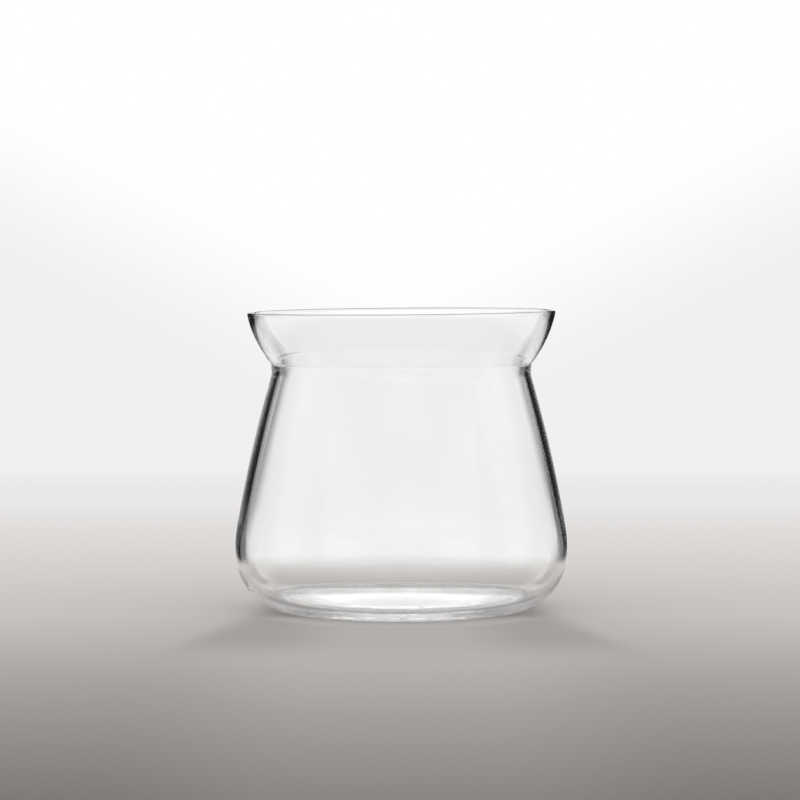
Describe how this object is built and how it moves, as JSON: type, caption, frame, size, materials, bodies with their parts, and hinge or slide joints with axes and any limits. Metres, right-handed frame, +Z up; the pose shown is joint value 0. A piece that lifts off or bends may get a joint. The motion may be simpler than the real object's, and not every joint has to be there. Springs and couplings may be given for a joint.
{
  "type": "glass espresso cup",
  "caption": "Clear blown-glass espresso cup with a low rounded belly, sides that taper in to a neck, and above a fine crease a flared collar with a rounded drinking lip.",
  "frame": {"origin": "middle of the flat ring that the cup stands on", "axes": "+Z up along the cup's axis, from the base to the lip; the cup is round, so X and Y are free"},
  "size_m": [0.0668, 0.0668, 0.06],
  "materials": {
    "clear_glass": "clear, colourless, fire-polished, smooth"
  },
  "bodies": {
    "root": {"glass_cup": "clear_glass"}
  },
  "joints": []
}
